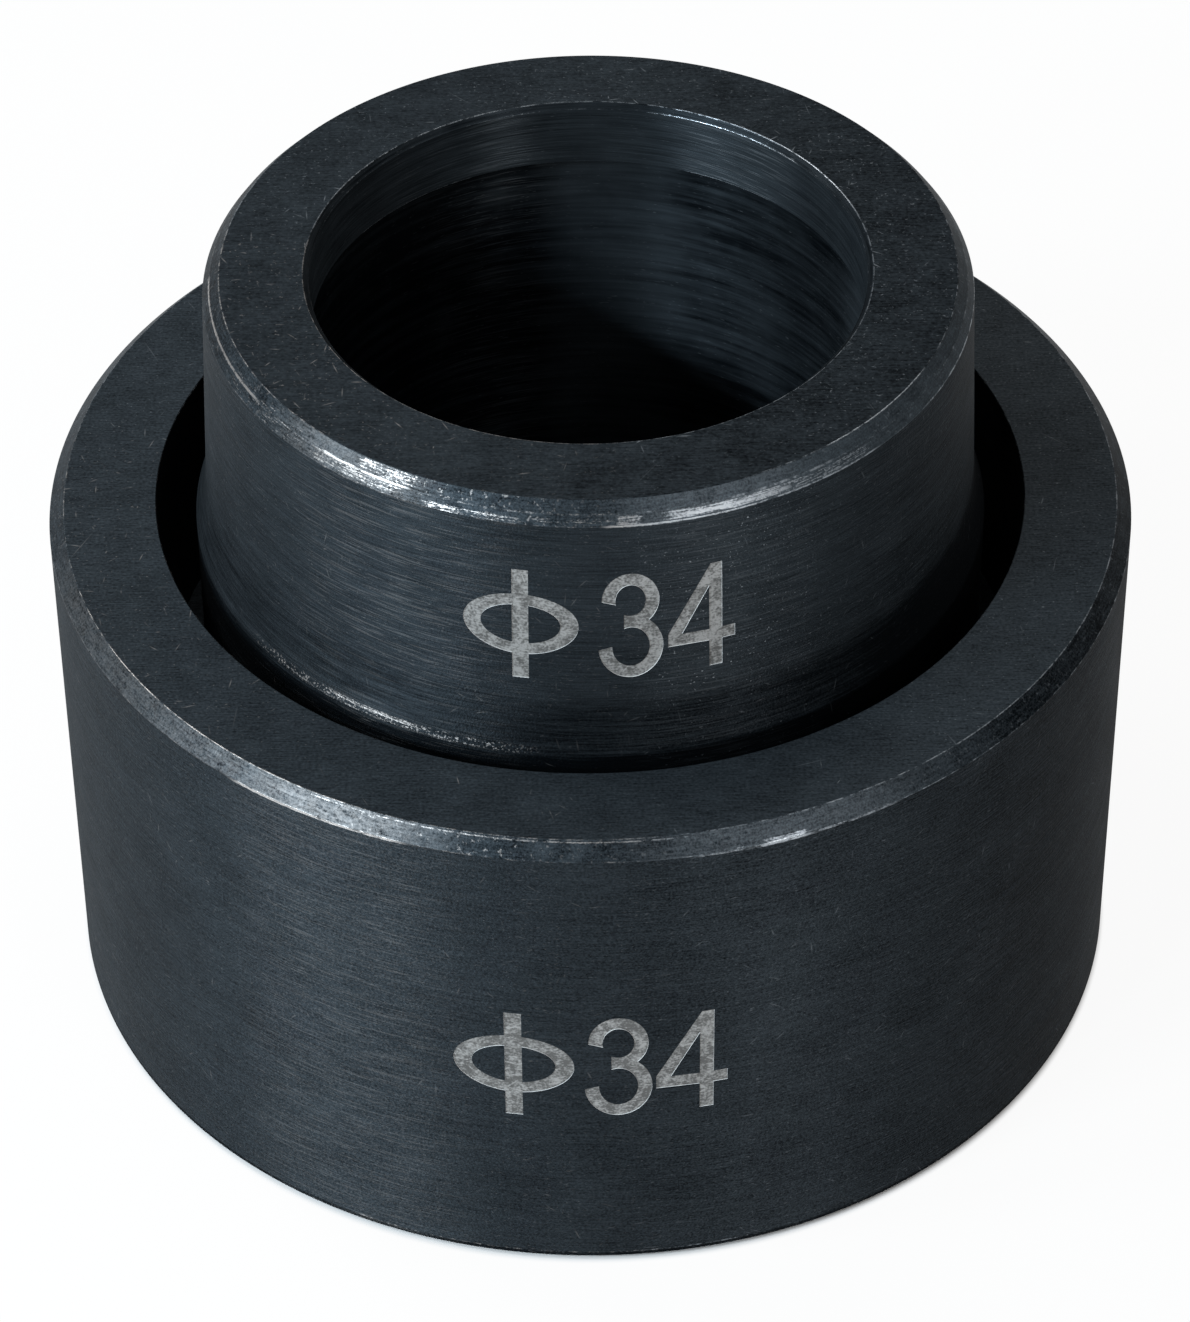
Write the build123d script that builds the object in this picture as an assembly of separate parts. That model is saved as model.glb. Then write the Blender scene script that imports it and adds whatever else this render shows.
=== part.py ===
from build123d import *
import math
import os

# Punch die: a stepped die ring rests on a ledge in a wider holder ring and stands proud of it.
# Sizes are millimetres. The origin is the centre of the holder ring's base, +Z runs up the
# common axis of both rings, and the size marks face -Y.

# Die ring, outwards from its bore
die_bore = 34.0
lead_in = 0.35
relief_step = 0.7
die_wall = 6.5
wall_flare = 0.5
collar_step = 0.8

# Die ring, along its axis
die_stand = 16.9
seat_depth = 15.1
collar_sink = 0.9
sweep_height = 3.8
land_depth = 4.4

# Die ring, edges: the rim is broken by two facets with a ridge between them
upper_facet_width = 0.62
upper_facet_drop = 0.65
lower_facet_width = 0.42
lower_facet_drop = 0.6
collar_round = 0.6
die_foot_chamfer = 0.5

# Holder ring
seat_clearance = 2.45
holder_wall = 6.75
seat_floor = 19.9
slug_way_step = 2.3
holder_rim_chamfer = 0.95
holder_foot_chamfer = 0.5

# Size mark, as large as on the die ring: a diameter sign, then the bore in plain digits.
# Each sign is cut by a block that reaches mark_reach in and out of the wall.
mark_depth = 0.1
mark_reach = 1.5
sign_width = 6.85
sign_height = 4.43
sign_side_stroke = 1.05
sign_crown_stroke = 0.79
sign_bar_width = 0.98
sign_bar_height = 8.0
digit_side_stroke = 0.8
digit_crown_stroke = 0.85
three_height = 7.68
three_upper_width = 3.38
three_upper_height = 3.96
three_lower_width = 3.8
three_stub = 0.4
three_mouth_height = 2.72
three_mouth_rise = 0.07
three_mouth_slant = 17.0
four_width = 4.08
four_height = 7.6
four_crown_width = 0.7
four_tail = 0.8
four_foot_height = 1.9
four_heel_rise = 0.1
four_counter_width = 1.65
four_counter_height = 3.2

# How far each sign's centre sits along the wall from the ring's front line
die_sign_place = -4.18
die_three_place = 2.31
die_four_place = 6.56
holder_sign_place = -4.96
holder_three_place = 1.4
holder_four_place = 5.88

# How far the marks sit below the middle of their walls, and the larger mark's scale
die_mark_drop = 0.95
holder_mark_drop = 0.35
holder_mark_scale = 1.075

# Radii and heights that follow from the sizes above
bore_radius = die_bore / 2
relief_radius = bore_radius + relief_step
wall_top_radius = bore_radius + die_wall
wall_base_radius = wall_top_radius + wall_flare
collar_radius = wall_base_radius + collar_step
seat_radius = collar_radius + seat_clearance
holder_radius = seat_radius + holder_wall
slug_way_radius = relief_radius + slug_way_step

ledge_z = seat_floor
holder_top_z = ledge_z + seat_depth
die_top_z = holder_top_z + die_stand
collar_edge_z = holder_top_z - collar_sink
wall_base_z = collar_edge_z + sweep_height
facet_ridge_z = die_top_z - upper_facet_drop
wall_top_z = facet_ridge_z - lower_facet_drop
land_end_z = die_top_z - land_depth


def turned(section):
    """A solid turned from its section, which is drawn as radius and height."""
    return revolve(Plane.XZ * section, Axis.Z)


def die_section():
    """Land, relief, foot, collar, hollow sweep, wall and facets of the die ring."""
    facet_ridge_radius = wall_top_radius - lower_facet_width
    rim_radius = facet_ridge_radius - upper_facet_width
    bore_and_foot = Polyline(
        (rim_radius, die_top_z),
        (bore_radius + lead_in, die_top_z),
        (bore_radius, die_top_z - lead_in),
        (bore_radius, land_end_z),
        (relief_radius, land_end_z),
        (relief_radius, ledge_z + die_foot_chamfer),
        (relief_radius + die_foot_chamfer, ledge_z),
        (collar_radius - die_foot_chamfer, ledge_z),
        (collar_radius, ledge_z + die_foot_chamfer),
        (collar_radius, collar_edge_z),
    )
    # The sweep leaves the wall in line with it and runs out to the collar's edge
    wall_run = (wall_base_radius - wall_top_radius, wall_base_z - wall_top_z)
    sweep = TangentArc(
        (wall_base_radius, wall_base_z),
        (collar_radius, collar_edge_z),
        tangent=wall_run,
    )
    wall_and_facets = Polyline(
        (wall_base_radius, wall_base_z),
        (wall_top_radius, wall_top_z),
        (facet_ridge_radius, facet_ridge_z),
        (rim_radius, die_top_z),
    )
    section = make_face(bore_and_foot.edges() + sweep.edges() + wall_and_facets.edges())
    collar_corner = section.vertices().sort_by_distance((collar_radius, collar_edge_z))[0]
    return fillet(collar_corner, collar_round)


def holder_section():
    """Slug way, ledge, bore, chamfered rim and chamfered foot of the holder ring."""
    outline = Polyline(
        (slug_way_radius + holder_foot_chamfer, 0),
        (holder_radius - holder_foot_chamfer, 0),
        (holder_radius, holder_foot_chamfer),
        (holder_radius, holder_top_z - holder_rim_chamfer),
        (holder_radius - holder_rim_chamfer, holder_top_z),
        (seat_radius, holder_top_z),
        (seat_radius, ledge_z),
        (slug_way_radius, ledge_z),
        (slug_way_radius, holder_foot_chamfer),
        close=True,
    )
    return make_face(outline)


def elliptical_band(width, height, side_stroke, crown_stroke):
    """An elliptical ring, with one stroke at its sides and another at its crowns."""
    outer = Ellipse(width / 2, height / 2)
    return outer - Ellipse(width / 2 - side_stroke, height / 2 - crown_stroke)


def diameter_sign():
    """An elliptical ring crossed by an upright bar."""
    ring = elliptical_band(sign_width, sign_height, sign_side_stroke, sign_crown_stroke)
    return ring + Rectangle(sign_bar_width, sign_bar_height)


def digit_three():
    """Two bowls that share their middle stroke, open on the left between slanted ends."""
    lower_height = three_height + digit_crown_stroke - three_upper_height
    upper = elliptical_band(
        three_upper_width, three_upper_height, digit_side_stroke, digit_crown_stroke
    )
    lower = elliptical_band(
        three_lower_width, lower_height, digit_side_stroke, digit_crown_stroke
    )
    bowls = Pos(0, (three_height - three_upper_height) / 2) * upper
    bowls += Pos(0, (lower_height - three_height) / 2) * lower
    half_mouth = three_mouth_height / 2
    reach = three_lower_width
    widening = (reach - three_stub) * math.tan(math.radians(three_mouth_slant))
    mouth = Polygon(
        (-three_stub, half_mouth),
        (-reach, half_mouth + widening),
        (-reach, -half_mouth - widening),
        (-three_stub, -half_mouth),
        align=None,
    )
    return bowls - Pos(0, three_mouth_rise) * mouth


def digit_four():
    """A slanted stroke and a crossbar round a three-cornered counter, and an upright."""
    left = -four_width / 2
    right = four_width / 2
    foot = -four_height / 2
    crown = four_height / 2
    upright_right = right - four_tail
    upright_left = upright_right - digit_side_stroke
    bar_foot = foot + four_foot_height
    bar_top = bar_foot + digit_crown_stroke
    outline = Polygon(
        (upright_left, foot),
        (upright_right, foot),
        (upright_right, bar_foot),
        (right, bar_foot),
        (right, bar_top),
        (upright_right, bar_top),
        (upright_right, crown),
        (upright_right - four_crown_width, crown),
        (left, bar_top + four_heel_rise),
        (left, bar_foot),
        (upright_left, bar_foot),
        align=None,
    )
    counter = Polygon(
        (upright_left - four_counter_width, bar_top),
        (upright_left, bar_top),
        (upright_left, bar_top + four_counter_height),
        align=None,
    )
    return outline - counter


def wall_core(base_radius, base_z, top_radius, top_z, foot_z, crown_z):
    """What the marks leave uncut: the body under a wall, mark_depth in from its surface."""
    slope = (top_radius - base_radius) / (top_z - base_z)
    foot_radius = base_radius + slope * (foot_z - base_z) - mark_depth
    crown_radius = base_radius + slope * (crown_z - base_z) - mark_depth
    outline = Polyline(
        (0, foot_z), (foot_radius, foot_z), (crown_radius, crown_z), (0, crown_z), close=True
    )
    return turned(make_face(outline))


def marked(ring, core, places, wall_radius, height, size):
    """A ring with the size mark cut into its wall, each sign pressed square to the wall."""
    for glyph, place in zip((diameter_sign(), digit_three(), digit_four()), places):
        angle = place / wall_radius
        outward = Vector(math.sin(angle), -math.cos(angle), 0)
        along = Vector(math.cos(angle), math.sin(angle), 0)
        centre = outward * wall_radius + Vector(0, 0, height)
        face = Plane(origin=centre, x_dir=along, z_dir=outward) * scale(glyph, by=size)
        ring -= extrude(face, amount=mark_reach, both=True) - core
    return ring


def die_ring():
    """The ring whose bore is the die, with its mark a little below mid-wall."""
    core = wall_core(
        wall_base_radius, wall_base_z, wall_top_radius, wall_top_z, ledge_z, die_top_z
    )
    places = (die_sign_place, die_three_place, die_four_place)
    mid_radius = (wall_base_radius + wall_top_radius) / 2
    height = (wall_base_z + wall_top_z) / 2 - die_mark_drop
    return marked(turned(die_section()), core, places, mid_radius, height, 1.0)


def holder_ring():
    """The wide ring with the ledge, and the same mark in its larger size."""
    core = wall_core(holder_radius, 0, holder_radius, holder_top_z, 0, holder_top_z)
    places = (holder_sign_place, holder_three_place, holder_four_place)
    height = holder_top_z / 2 - holder_mark_drop
    return marked(
        turned(holder_section()), core, places, holder_radius, height, holder_mark_scale
    )


os.makedirs("parts", exist_ok=True)
for name, ring in (("die_ring", die_ring()), ("holder_ring", holder_ring())):
    ring.label = name
    export_step(ring, f"parts/{name}.step")
    size = ring.bounding_box().size
    print(f"{name}: {size.X:.2f} x {size.Y:.2f} x {size.Z:.2f} mm, {ring.volume:.0f} mm3")
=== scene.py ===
# %% [markdown]
# # Dressing a punch die
#
# A punch die is the ring that a punch drives sheet metal through. This one is a set of two: a die
# ring with the bore, and the wider holder ring that it stands in. The frame holds both as solids
# at their real size, so nothing here moves or resizes them. This lesson gives them what a solid
# model lacks: softened edges, tool marks, worn blackening and the size mark's pale floor.

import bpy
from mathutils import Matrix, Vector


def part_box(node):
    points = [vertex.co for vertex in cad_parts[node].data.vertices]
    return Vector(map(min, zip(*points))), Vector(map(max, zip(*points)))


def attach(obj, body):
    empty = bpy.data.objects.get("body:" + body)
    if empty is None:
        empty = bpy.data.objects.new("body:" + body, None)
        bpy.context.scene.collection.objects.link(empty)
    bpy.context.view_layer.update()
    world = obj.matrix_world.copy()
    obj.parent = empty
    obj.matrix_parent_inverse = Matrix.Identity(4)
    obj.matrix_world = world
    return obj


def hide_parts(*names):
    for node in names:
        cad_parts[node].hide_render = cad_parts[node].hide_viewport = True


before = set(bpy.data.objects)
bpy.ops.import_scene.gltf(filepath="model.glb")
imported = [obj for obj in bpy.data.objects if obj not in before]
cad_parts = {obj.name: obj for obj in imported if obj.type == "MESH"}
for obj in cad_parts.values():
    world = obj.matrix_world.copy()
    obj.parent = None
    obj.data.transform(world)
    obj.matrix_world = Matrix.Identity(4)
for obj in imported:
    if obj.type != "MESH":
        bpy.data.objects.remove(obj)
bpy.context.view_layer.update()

# %% Units and imports
import math

import bpy
from mathutils import Matrix, Vector
from mathutils.geometry import delaunay_2d_cdt

MM = 0.001

# %% [markdown]
# ## The camera
#
# The picture looks down on the die from the front, through a long lens, so both rims read as
# ellipses and the front walls still show. A camera can be placed by eye, but the two rims and the
# outline give it exactly: the values below are a fit to those edges. They are kept as a place
# and three angles, because those are what a photographer sets.

# %% Place the camera
picture_width, picture_height = 1190, 1322
focal_pixels = 5192.95
sensor = 36.0
camera_place = Vector((0, -253.95, 240.89)) * MM
camera_pitch, camera_yaw, camera_roll = 0.71582, 0.00085, -0.00847


def placed(name, data):
    """A new object that holds this data, linked into the scene."""
    thing = bpy.data.objects.new(name, data)
    bpy.context.scene.collection.objects.link(thing)
    return thing


lens = bpy.data.cameras.new("camera")
lens.sensor_width = sensor
lens.lens = sensor * focal_pixels / max(picture_width, picture_height)
lens.clip_start, lens.clip_end = 0.01, 20
camera = placed("camera", lens)
camera.matrix_world = (
    Matrix.Translation(camera_place)
    @ Matrix.Rotation(-camera_yaw, 4, "Z")
    @ Matrix.Rotation(math.pi / 2 - camera_pitch, 4, "X")
    @ Matrix.Rotation(camera_roll, 4, "Z")
)
bpy.context.scene.camera = camera
bpy.context.scene.view_settings.view_transform = "Standard"
print(f"lens {lens.lens:.1f} mm, {math.degrees(camera_pitch):.1f} degrees above the floor")

# %% [markdown]
# ## Shader maths as Python
#
# A finish is a sum of many small effects: grain, specks, worn edges. Drawn by hand that is a wall
# of Math nodes. Here one small class wraps a socket, and Python's own operators add the nodes, so
# that a mask reads as the formula it is. Any other node comes from the one method `node`.


# %% A class for signals
class Signal:
    """A socket in a material. Arithmetic on it adds Math nodes; node() adds any other node."""

    def __init__(self, tree, socket=None):
        self.tree = tree
        self.socket = socket

    def node(self, kind, settings=None, sockets=None, output=0):
        """Adds a node, sets its settings, then gives its sockets their values or links."""
        made = self.tree.nodes.new("ShaderNode" + kind)
        for name, setting in (settings or {}).items():
            setattr(made, name, setting)
        for name, given in (sockets or {}).items():
            if isinstance(given, Signal):
                self.tree.links.new(given.socket, made.inputs[name])
            else:
                made.inputs[name].default_value = given
        return Signal(self.tree, made.outputs[output] if made.outputs else None)

    def output(self, name):
        """Another output of the node that this signal comes from."""
        return Signal(self.tree, self.socket.node.outputs[name])

    def math(self, operation, *values):
        """A Math node on these values."""
        return self.node("Math", {"operation": operation}, dict(enumerate(values)))

    def __add__(self, other):
        return self.math("ADD", self, other)

    def __radd__(self, other):
        return self.math("ADD", other, self)

    def __sub__(self, other):
        return self.math("SUBTRACT", self, other)

    def __rsub__(self, other):
        return self.math("SUBTRACT", other, self)

    def __mul__(self, other):
        return self.math("MULTIPLY", self, other)

    def __rmul__(self, other):
        return self.math("MULTIPLY", other, self)

    def __truediv__(self, other):
        return self.math("DIVIDE", self, other)

    def __rtruediv__(self, other):
        return self.math("DIVIDE", other, self)

    def __pow__(self, other):
        return self.math("POWER", self, other)

    def __neg__(self):
        return self.math("MULTIPLY", self, -1.0)

    def __abs__(self):
        return self.math("ABSOLUTE", self)

    def most(self, other):
        """The larger of two values."""
        return self.math("MAXIMUM", self, other)

    def rise(self, low, high):
        """Goes smoothly from 0 at low to 1 at high."""
        return self.node(
            "MapRange", {"interpolation_type": "SMOOTHSTEP"}, {0: self, 1: low, 2: high}
        )

    def fall(self, low, high):
        """Goes smoothly from 1 at low to 0 at high."""
        return self.node(
            "MapRange",
            {"interpolation_type": "SMOOTHSTEP"},
            {0: self, 1: low, 2: high, 3: 1.0, 4: 0.0},
        )

    def parts(self):
        """The three numbers of a vector."""
        split = self.node("SeparateXYZ", {}, {0: self})
        return split, split.output("Y"), split.output("Z")

    def shrunk(self, sizes):
        """A vector divided by a size along each axis, so that a pattern is stretched to it."""
        return self.node("VectorMath", {"operation": "DIVIDE"}, {0: self, 1: sizes})

    def noise(self, detail=2.0, roughness=0.5):
        """Soft noise, whose lumps are about one unit of this vector across."""
        return self.node(
            "TexNoise", {}, {"Vector": self, "Scale": 1.0, "Detail": detail, "Roughness": roughness}
        )


def blank(name):
    """A new material with an empty sheet to draw signals on."""
    paint = bpy.data.materials.new(name)
    paint.use_nodes = True
    paint.node_tree.nodes.clear()
    return paint, Signal(paint.node_tree)


def mix_colours(share, first, second):
    """Goes from the first colour to the second as share goes from 0 to 1."""
    return share.node(
        "Mix", {"data_type": "RGBA"}, {0: share, 6: first, 7: second}, output=2
    )


print("signals ready")

# %% [markdown]
# ## Floor, air and lamps
#
# The die stands on a white sweep, lit from both sides of the camera. The floor could be made white
# by sheer light, but that light would also wash out the blackened steel. So the floor is an
# ordinary pale surface for the light that bounces off it, and the rays that look at it, from the
# camera or by way of the metal's gloss, also see a share of plain white. In the gloss that share is
# smaller, most of all on the right, where the studio was darker. The rest of what they see is the
# lit surface, which keeps the die's shadow. Right at the foot there is no share of white, so that
# the thin dark line stays that any object draws where it touches the ground.

# %% Floor and world
floor_reach = 3.0
white_share = 0.93
gloss_left, gloss_right = 0.7, 0.32
gloss_turns = (-0.02, 0.12)
shade_start, shade_end = 0.0336, 0.0343
world_light = 0.18

corners = [(x * floor_reach, y * floor_reach, 0) for x, y in ((-1, -1), (1, -1), (1, 1), (-1, 1))]
floor_mesh = bpy.data.meshes.new("floor")
floor_mesh.from_pydata(corners, [], [(0, 1, 2, 3)])
floor = placed("floor", floor_mesh)

floor_paint, sheet = blank("floor_paint")
ray = sheet.node("LightPath", output="Is Camera Ray")
floor_x, floor_y, _ = sheet.node("TexCoord", output="Object").parts()
in_gloss = gloss_left + floor_x.rise(*gloss_turns) * (gloss_right - gloss_left)
looked_at = ray.most(ray.output("Is Transmission Ray"))
looked_at = looked_at.most(ray.output("Is Glossy Ray") * in_gloss)
from_axis = (floor_x * floor_x + floor_y * floor_y) ** 0.5
white_part = looked_at * white_share * from_axis.rise(shade_start, shade_end)
matt = sheet.node("BsdfDiffuse", {}, {"Color": (0.8, 0.8, 0.8, 1)})
white = sheet.node("Emission", {}, {"Color": (1, 1, 1, 1), "Strength": 1.0})
surface = sheet.node("MixShader", {}, {0: white_part, 1: matt, 2: white})
sheet.node("OutputMaterial", {}, {0: surface})
floor_mesh.materials.append(floor_paint)

world = bpy.data.worlds.new("world")
world.use_nodes = True
world.node_tree.nodes["Background"].inputs["Color"].default_value = (1, 1, 1, 1)
world.node_tree.nodes["Background"].inputs["Strength"].default_value = world_light
bpy.context.scene.world = world
print(f"floor {2 * floor_reach:.0f} m wide, world light {world_light}")

# %% [markdown]
# Studio light is a few lamps, each with one job. Where they stand can be read off the metal. A
# round wall shows a lamp as an upright band, halfway round from the camera to the lamp: the bands
# are about 26 degrees to the left and 15 to the right, so the lamps are at about twice that. How
# high they stand shows on the 45 degree chamfer and in the bore's slanting shadow, whose sharp
# edge also says that the lamp that casts it is small. Three lamps give the cool light from the
# left, two the glints on the right, and two weak ones lift the far side.

# %% Lamps
lamp_distance = 0.6
lamp_aim = Vector((0, 0, 0.03))


def soft_box(name, azimuth, elevation, size, watts, colour):
    """A rectangular lamp that faces the die. Azimuth 0 is in front and goes to the right."""
    lamp = bpy.data.lights.new(name, "AREA")
    lamp.shape = "RECTANGLE"
    lamp.size, lamp.size_y = size
    lamp.energy, lamp.color = watts, colour
    turn, lift = math.radians(azimuth), math.radians(elevation)
    away = Vector(
        (math.sin(turn) * math.cos(lift), -math.cos(turn) * math.cos(lift), math.sin(lift))
    )
    box = placed(name, lamp)
    box.location = lamp_aim + away * lamp_distance
    box.rotation_euler = away.to_track_quat("Z", "Y").to_euler()


soft_box("key_lamp", -52, 33, (0.14, 0.04), 2.5, (0.8, 0.92, 1.0))
soft_box("front_lamp", -36, 31, (0.05, 0.02), 0.85, (0.76, 0.9, 1.0))
soft_box("left_lamp", -75, 38, (0.1, 0.1), 1.1, (0.82, 0.93, 1.0))
soft_box("side_lamp", 31, 15, (0.08, 0.08), 0.9, (1.0, 0.96, 0.92))
soft_box("glint_lamp", 40, 42, (0.06, 0.06), 0.22, (0.98, 0.98, 1.0))
soft_box("back_lamp", -125, 48, (0.2, 0.2), 1.1, (1.0, 0.98, 0.96))
soft_box("rim_lamp", 155, 55, (0.2, 0.2), 0.45, (1.0, 0.94, 0.88))

# %% [markdown]
# ## Sections
#
# Both rings are lathe work, so each is its section spun round the axis. How far the rings reach
# and how high they stand is read off the frame. Walls and steps inside a box can't be read off it,
# so they repeat the solid model's sizes, in millimetres. Each corner also gets the small round
# that deburring and handling leave on it. A modelled round is what makes an edge catch the light;
# a bevel modifier could add it, but each edge would need a weight, as the lead-in is sharper than
# the collar.


# %% Sizes of the rings
def reach_foot_and_top(node):
    """A node's radius and the heights of its foot and top, in millimetres, off the frame."""
    low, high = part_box(node)
    return [round(length / MM, 3) for length in (high.x, low.z, high.z)]


collar_radius, ledge_z, die_top_z = reach_foot_and_top("die_ring")
holder_radius, base_z, holder_top_z = reach_foot_and_top("holder_ring")

bore_radius = 17.0
lead_in = 0.35
relief_radius = bore_radius + 0.7
wall_base_radius = collar_radius - 0.8
wall_top_radius = wall_base_radius - 0.5
facet_ridge_radius = wall_top_radius - 0.42
rim_radius = facet_ridge_radius - 0.62
seat_radius = collar_radius + 2.45
slug_way_radius = relief_radius + 2.3

collar_edge_z = holder_top_z - 0.9
wall_base_z = collar_edge_z + 3.8
facet_ridge_z = die_top_z - 0.65
wall_top_z = facet_ridge_z - 0.6
land_end_z = die_top_z - 4.4

foot_chamfer = 0.5
holder_chamfer = 0.95
collar_round = 0.6
print(f"die ring stands {die_top_z - holder_top_z:.1f} mm proud of the holder ring")

# %% [markdown]
# A section is a list of corners: radius, height, round, and the finish of the run that starts
# there. They go up the outside and down the bore, so that the right-hand side of each run is air.

# %% Sections of both rings
sweep_steps = 14


def hollow_sweep():
    """Points of the arc from the collar's edge up to the wall, which it leaves in line."""
    across = wall_base_radius - wall_top_radius
    down = wall_top_z - wall_base_z
    outward = Vector((down, across)).normalized()
    start = Vector((wall_base_radius, wall_base_z))
    end = Vector((collar_radius, collar_edge_z))
    chord = end - start
    radius = chord.length_squared / (2 * chord.dot(outward))
    centre = start + outward * radius
    swing = 2 * math.asin(chord.length / (2 * radius))
    points = []
    for step in range(sweep_steps):
        spoke = start - centre
        spoke.rotate(Matrix.Rotation(swing * (1 - (step + 1) / (sweep_steps + 1)), 2))
        points.append(centre + spoke)
    return points


die_section = [
    (relief_radius + foot_chamfer, ledge_z, 0.08, "ground"),
    (collar_radius - foot_chamfer, ledge_z, 0.08, "turned"),
    (collar_radius, ledge_z + foot_chamfer, 0.08, "turned"),
    (collar_radius, collar_edge_z, collar_round, "turned"),
    *((p.x, p.y, 0, "turned") for p in hollow_sweep()),
    (wall_base_radius, wall_base_z, 0, "turned"),
    (wall_top_radius, wall_top_z, 0.08, "die_facets"),
    (facet_ridge_radius, facet_ridge_z, 0.1, "die_facets"),
    (rim_radius, die_top_z, 0.1, "ground"),
    (bore_radius + lead_in, die_top_z, 0.05, "lead_in"),
    (bore_radius, die_top_z - lead_in, 0.05, "land"),
    (bore_radius, land_end_z, 0.04, "relief"),
    (relief_radius, land_end_z, 0.06, "relief"),
    (relief_radius, ledge_z + foot_chamfer, 0.08, "relief"),
]
holder_section = [
    (slug_way_radius + foot_chamfer, base_z, 0.08, "ground"),
    (holder_radius - foot_chamfer, base_z, 0.08, "turned"),
    (holder_radius, base_z + foot_chamfer, 0.1, "turned"),
    (holder_radius, holder_top_z - holder_chamfer, 0.1, "holder_chamfer"),
    (holder_radius - holder_chamfer, holder_top_z, 0.08, "ground"),
    (seat_radius, holder_top_z, 0.07, "relief"),
    (seat_radius, ledge_z, 0.06, "ground"),
    (slug_way_radius, ledge_z, 0.08, "relief"),
    (slug_way_radius, base_z + foot_chamfer, 0.08, "relief"),
]
print("corners:", len(die_section), "and", len(holder_section))

# %% [markdown]
# A corner becomes a short arc, and a long run is cut into shorter ones. Every point keeps the true
# normal of its place, which later goes to the mesh, so a coarse net still shades like a lathe's
# smooth surface.

# %% Round the corners
die_run, holder_run = 0.8, 1.0


def rounded(section, longest_run, arc_steps=5):
    """The section as close points, each with the normal of its place and the finish after it."""
    points = []
    for index, (radius, height, round_radius, finish) in enumerate(section):
        here = Vector((radius, height))
        before = Vector(section[index - 1][:2])
        after = Vector(section[(index + 1) % len(section)][:2])
        into, out = (here - before).normalized(), (after - here).normalized()
        normal_in, normal_out = Vector((into.y, -into.x)), Vector((out.y, -out.x))
        turn = math.atan2(into.cross(out), into.dot(out))
        if not round_radius:
            points.append((here, (normal_in + normal_out).normalized(), finish))
            continue
        bulge = math.copysign(round_radius, turn)
        start = here - into * round_radius * math.tan(abs(turn) / 2)
        centre = start - normal_in * bulge
        for step in range(arc_steps + 1):
            normal = normal_in.copy()
            normal.rotate(Matrix.Rotation(turn * step / arc_steps, 2))
            points.append((centre + normal * bulge, normal, finish))
    close = []
    for index, (here, normal, finish) in enumerate(points):
        close.append((here, normal, finish))
        after, after_normal, _ = points[(index + 1) % len(points)]
        extra = int((after - here).length / longest_run)
        for step in range(1, extra + 1):
            share = step / (extra + 1)
            blend = normal.lerp(after_normal, share).normalized()
            close.append((here.lerp(after, share), blend, finish))
    return close


die_points = rounded(die_section, die_run)
holder_points = rounded(holder_section, holder_run)
print("section points:", len(die_points), "and", len(holder_points))

# %% [markdown]
# ## The size mark
#
# The mark is the bore's size, a diameter sign and plain digits, etched by laser: a flat, pale,
# sharp-edged floor a few hundredths of a millimetre deep. An image on the wall would be easier,
# but real geometry stays crisp at any distance. Each sign is a set of closed loops and a rule
# that says which of them a point has to be in.

# %% Sizes of the mark
sign_width, sign_height = 6.85, 4.43
sign_side_stroke, sign_crown_stroke = 1.05, 0.79
sign_bar_width, sign_bar_height = 0.98, 8.0
digit_strokes = digit_side_stroke, digit_crown_stroke = 0.8, 0.85
three_height = 7.68
three_upper_width, three_upper_height = 3.38, 3.96
three_lower_width = 3.8
three_stub = 0.4
three_mouth_height, three_mouth_rise, three_mouth_slant = 2.72, 0.07, 17.0
four_width, four_height = 4.08, 7.6
four_crown_width, four_tail = 0.7, 0.8
four_foot_height, four_heel_rise = 1.9, 0.1
four_counter_width, four_counter_height = 1.65, 3.2
print(f"heights of the signs, mm: {sign_bar_height}, {three_height} and {four_height}")


# %% Loops of the three signs
def ellipse(width, height, y=0.0, steps=72):
    """A closed loop of points, anticlockwise."""
    turns = (2 * math.pi * step / steps for step in range(steps))
    return [(width / 2 * math.cos(t), y + height / 2 * math.sin(t)) for t in turns]


def band(width, height, side, crown, y=0.0):
    """The outer and inner loop of an elliptical ring with two stroke widths."""
    return ellipse(width, height, y), ellipse(width - 2 * side, height - 2 * crown, y)


def diameter_sign():
    """An elliptical ring crossed by an upright bar."""
    outer, inner = band(sign_width, sign_height, sign_side_stroke, sign_crown_stroke)
    side, top = sign_bar_width / 2, sign_bar_height / 2
    bar = [(-side, -top), (side, -top), (side, top), (-side, top)]
    return [outer, inner, bar], lambda i: 2 in i or (0 in i and 1 not in i)


def digit_three():
    """Two bowls that share their middle stroke, open on the left between slanted ends."""
    lower_height = three_height + digit_crown_stroke - three_upper_height
    upper_rise, lower_rise = three_height - three_upper_height, lower_height - three_height
    upper = band(three_upper_width, three_upper_height, *digit_strokes, upper_rise / 2)
    lower = band(three_lower_width, lower_height, *digit_strokes, lower_rise / 2)
    reach, narrow = three_lower_width, three_mouth_height / 2
    wide = narrow + (reach - three_stub) * math.tan(math.radians(three_mouth_slant))
    mouth = [
        (-three_stub, three_mouth_rise + narrow), (-reach, three_mouth_rise + wide),
        (-reach, three_mouth_rise - wide), (-three_stub, three_mouth_rise - narrow),
    ]
    return [*upper, *lower, mouth], lambda i: (
        4 not in i and ((0 in i and 1 not in i) or (2 in i and 3 not in i))
    )


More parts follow.
